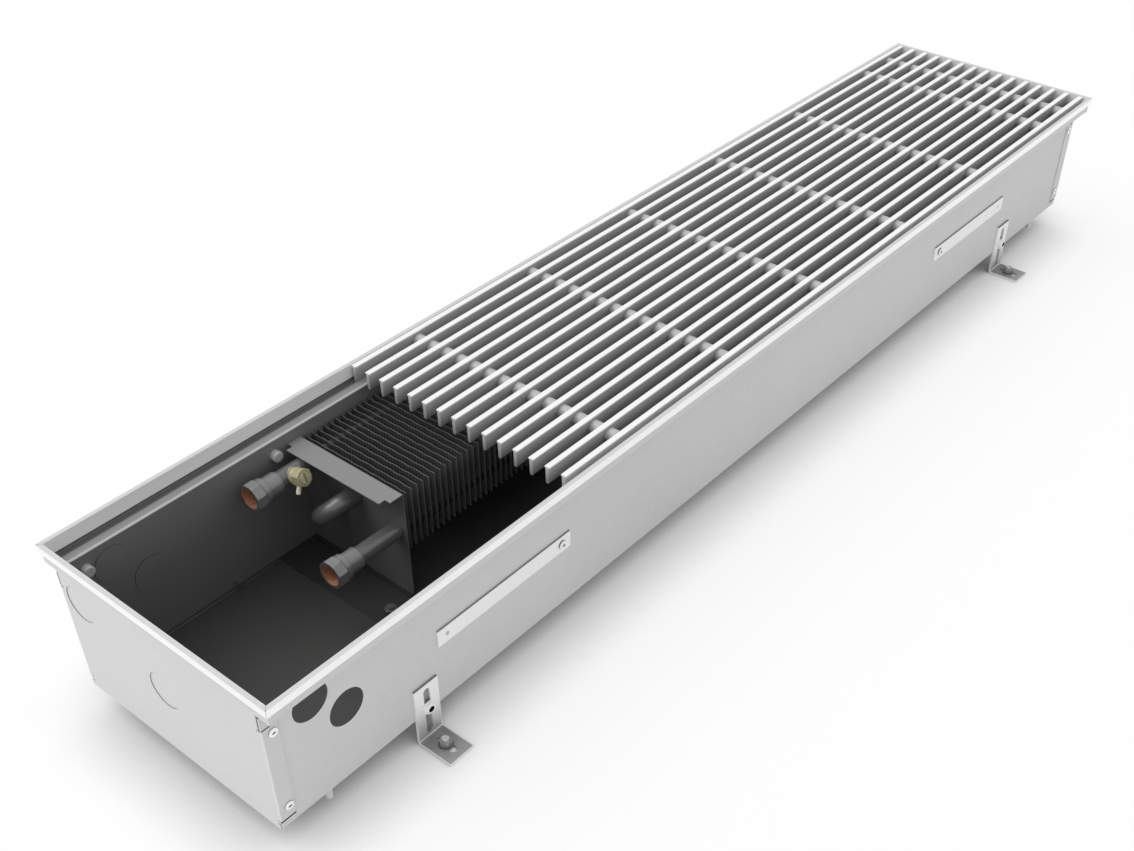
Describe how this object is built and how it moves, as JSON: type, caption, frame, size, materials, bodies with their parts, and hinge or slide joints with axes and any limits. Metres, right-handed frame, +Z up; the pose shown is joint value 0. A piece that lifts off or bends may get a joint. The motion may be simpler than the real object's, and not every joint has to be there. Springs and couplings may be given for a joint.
{
  "type": "trench convector heater",
  "caption": "Long floor trough with mitred edge frame, lift-out grille of long bars, finned water heat exchanger, air vent and slotted height brackets.",
  "frame": {"origin": "middle of the footprint, on the floor plane under the bracket feet", "axes": "+X along the trough away from the pipe connections, +Y to the far side where the exchanger lies, +Z up"},
  "size_m": [1.25, 0.3004, 0.165],
  "materials": {
    "galvanised_sheet": "satin galvanised sheet, dark coated inside",
    "frame_aluminium": "satin anodised",
    "grille_aluminium": "satin anodised",
    "spacer_grey": "matt",
    "rivet_metal": "bright",
    "stud_grey": "matt",
    "bright_steel": "bright zinc",
    "bracket_steel": "satin zinc",
    "dark_steel": "dark coat",
    "plate_grey": "matt grey coat",
    "fin_black": "black coat",
    "tube_dark": "satin dark coat",
    "fitting_dark": "satin dark coat, bare copper-coloured thread",
    "vent_brass": "satin nickelled brass",
    "strap_white": "satin zinc",
    "leveller_grey": "satin zinc"
  },
  "bodies": {
    "trough": {"trough_shell": "galvanised_sheet", "end_panel_left": "galvanised_sheet", "end_panel_right": "galvanised_sheet", "frame_near": "frame_aluminium", "frame_far": "frame_aluminium", "frame_left": "frame_aluminium", "frame_right": "frame_aluminium", "corner_rivets": "rivet_metal", "wall_studs": "stud_grey", "bracket_bolts": "bright_steel", "bracket_washers": "bright_steel", "bracket_nuts": "dark_steel", "strap_screws": "rivet_metal", "levelling_nuts": "dark_steel", "floor_plates": "dark_steel", "floor_studs": "bright_steel", "floor_nuts": "bright_steel", "exchanger_plate_front": "plate_grey", "exchanger_plate_rear": "plate_grey", "fins": "fin_black", "supply_hairpin": "tube_dark", "return_hairpin": "tube_dark", "return_bend": "tube_dark", "supply_fitting": "fitting_dark", "return_fitting": "fitting_dark", "vent_body": "vent_brass", "vent_nozzle": "vent_brass"},
    "vent_screw": {"vent_screw": "vent_brass"},
    "grille": {"grille_bars": "grille_aluminium", "grille_spacers": "spacer_grey", "grille_rods": "bright_steel"},
    "bracket_near_left": {"bracket_near_left": "bracket_steel", "anchor_stud_near_left": "bright_steel", "anchor_nut_near_left": "bright_steel", "anchor_washer_near_left": "bright_steel"},
    "bracket_near_right": {"bracket_near_right": "bracket_steel", "anchor_stud_near_right": "bright_steel", "anchor_nut_near_right": "bright_steel", "anchor_washer_near_right": "bright_steel"},
    "bracket_far_left": {"bracket_far_left": "bracket_steel", "anchor_stud_far_left": "bright_steel", "anchor_nut_far_left": "bright_steel", "anchor_washer_far_left": "bright_steel"},
    "bracket_far_right": {"bracket_far_right": "bracket_steel", "anchor_stud_far_right": "bright_steel", "anchor_nut_far_right": "bright_steel", "anchor_washer_far_right": "bright_steel"},
    "strap_near_left": {"strap_near_left": "strap_white"},
    "strap_near_right": {"strap_near_right": "strap_white"},
    "strap_far_left": {"strap_far_left": "strap_white"},
    "strap_far_right": {"strap_far_right": "strap_white"},
    "leveller_near_left": {"leveller_near_left": "leveller_grey"},
    "leveller_near_right": {"leveller_near_right": "leveller_grey"},
    "leveller_far_left": {"leveller_far_left": "leveller_grey"},
    "leveller_far_right": {"leveller_far_right": "leveller_grey"}
  },
  "joints": [
    {"name": "grille_lift", "type": "slide", "parent": "trough", "child": "grille", "axis": [0, 0, 1], "range_m": [0, 0.06]},
    {"name": "vent_screw_turn", "type": "hinge", "parent": "trough", "child": "vent_screw", "pos_m": [-0.4185, 0.07169, 0.1319], "axis": [0, -0.9537, 0.3007], "range_deg": [0, 270]},
    {"name": "bracket_near_left_height", "type": "slide", "parent": "trough", "child": "bracket_near_left", "axis": [0, 0, 1], "range_m": [-0.017, 0.024]},
    {"name": "bracket_near_right_height", "type": "slide", "parent": "trough", "child": "bracket_near_right", "axis": [0, 0, 1], "range_m": [-0.017, 0.024]},
    {"name": "bracket_far_left_height", "type": "slide", "parent": "trough", "child": "bracket_far_left", "axis": [0, 0, 1], "range_m": [-0.017, 0.024]},
    {"name": "bracket_far_right_height", "type": "slide", "parent": "trough", "child": "bracket_far_right", "axis": [0, 0, 1], "range_m": [-0.017, 0.024]},
    {"name": "strap_near_left_swing", "type": "hinge", "parent": "trough", "child": "strap_near_left", "pos_m": [-0.3128, -0.114, 0.093], "axis": [0, 1, 0], "range_deg": [-34, 18]},
    {"name": "strap_near_right_swing", "type": "hinge", "parent": "trough", "child": "strap_near_right", "pos_m": [0.3128, -0.114, 0.093], "axis": [0, 1, 0], "range_deg": [-18, 34]},
    {"name": "strap_far_left_swing", "type": "hinge", "parent": "trough", "child": "strap_far_left", "pos_m": [-0.3128, 0.114, 0.093], "axis": [0, 1, 0], "range_deg": [-34, 18]},
    {"name": "strap_far_right_swing", "type": "hinge", "parent": "trough", "child": "strap_far_right", "pos_m": [0.3128, 0.114, 0.093], "axis": [0, 1, 0], "range_deg": [-18, 34]},
    {"name": "leveller_near_left_travel", "type": "slide", "parent": "trough", "child": "leveller_near_left", "axis": [0, 0, 1], "range_m": [-0.0115, 0.01]},
    {"name": "leveller_near_right_travel", "type": "slide", "parent": "trough", "child": "leveller_near_right", "axis": [0, 0, 1], "range_m": [-0.0115, 0.01]},
    {"name": "leveller_far_left_travel", "type": "slide", "parent": "trough", "child": "leveller_far_left", "axis": [0, 0, 1], "range_m": [-0.0115, 0.01]},
    {"name": "leveller_far_right_travel", "type": "slide", "parent": "trough", "child": "leveller_far_right", "axis": [0, 0, 1], "range_m": [-0.0115, 0.01]}
  ]
}
